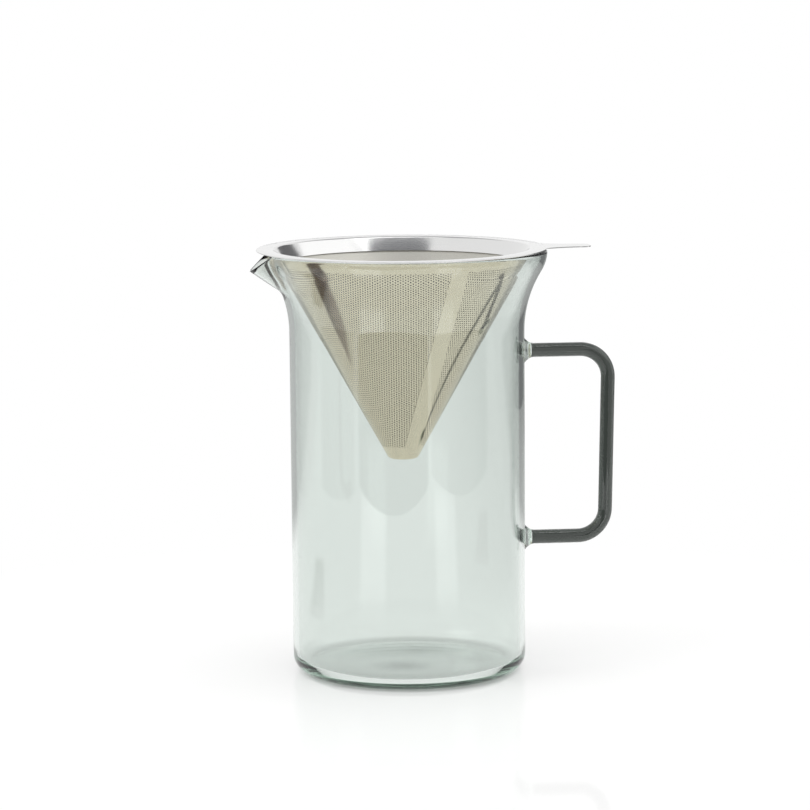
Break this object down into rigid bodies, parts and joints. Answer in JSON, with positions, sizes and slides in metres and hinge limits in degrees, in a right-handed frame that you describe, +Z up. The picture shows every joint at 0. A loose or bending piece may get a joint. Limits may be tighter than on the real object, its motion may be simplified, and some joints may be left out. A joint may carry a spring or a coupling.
{
  "type": "pour-over coffee maker",
  "caption": "Straight glass pour-over jug with a flared, spouted mouth and a fused square rod handle, with a lift-out perforated steel cone filter hung by its flat rim with a tab.",
  "frame": {"origin": "centre of the jug's flat underside, on the table", "axes": "+Z up, +X through the handle and the filter's tab, -X through the spout, +Y away from the picture's viewer"},
  "size_m": [0.1559, 0.1234, 0.1817],
  "materials": {
    "jug_glass": "clear, slightly smoky grey-green, fire-polished",
    "handle_glass": "clear dark smoky grey, fire-polished rod",
    "polished_steel": "bright, finely brushed round the axis",
    "perforated_steel": "satin sheet with fine staggered holes",
    "steel_mesh": "fine woven mesh"
  },
  "bodies": {
    "jug": {"jug": "jug_glass", "handle": "handle_glass"},
    "filter": {"filter_rim": "polished_steel", "filter_cone": "perforated_steel", "filter_mesh": "steel_mesh", "filter_disc": "perforated_steel"}
  },
  "joints": [
    {"name": "filter_lift", "type": "slide", "parent": "jug", "child": "filter", "axis": [0, 0, 1], "range_m": [0, 0.1]}
  ]
}
